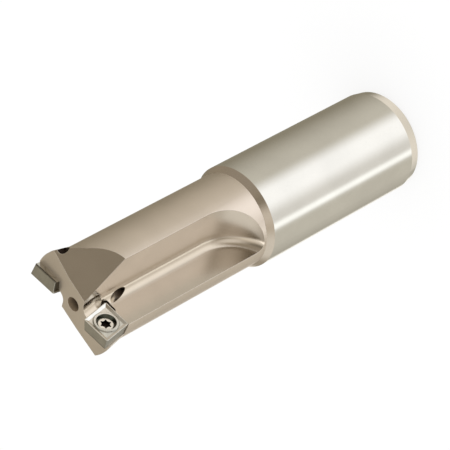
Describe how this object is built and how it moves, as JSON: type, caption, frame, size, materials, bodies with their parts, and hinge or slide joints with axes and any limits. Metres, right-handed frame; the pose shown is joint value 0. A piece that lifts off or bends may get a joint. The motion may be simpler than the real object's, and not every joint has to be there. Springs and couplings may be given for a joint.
{
  "type": "indexable counterbore",
  "caption": "Indexable counterbore with a plain cylindrical shank, a stepped-down fluted neck and rhombic carbide inserts clamped by screws.",
  "frame": {"origin": "centre of the shank's rear face, where the tool axis leaves it", "axes": "+Z along the tool axis to the cutting end; +X outward through the first insert; +Y the way that the first insert's cutting edge travels"},
  "size_m": [0.032, 0.032, 0.13],
  "materials": {
    "nickel_plated_steel": "warm satin nickel plating over turned and milled steel",
    "cemented_carbide": "uncoated carbide, fine ground",
    "screw_steel": "bright steel with a dark socket"
  },
  "bodies": {
    "root": {"tool_body": "nickel_plated_steel", "insert_1": "cemented_carbide", "insert_2": "cemented_carbide", "clamp_screws": "screw_steel"}
  },
  "joints": []
}
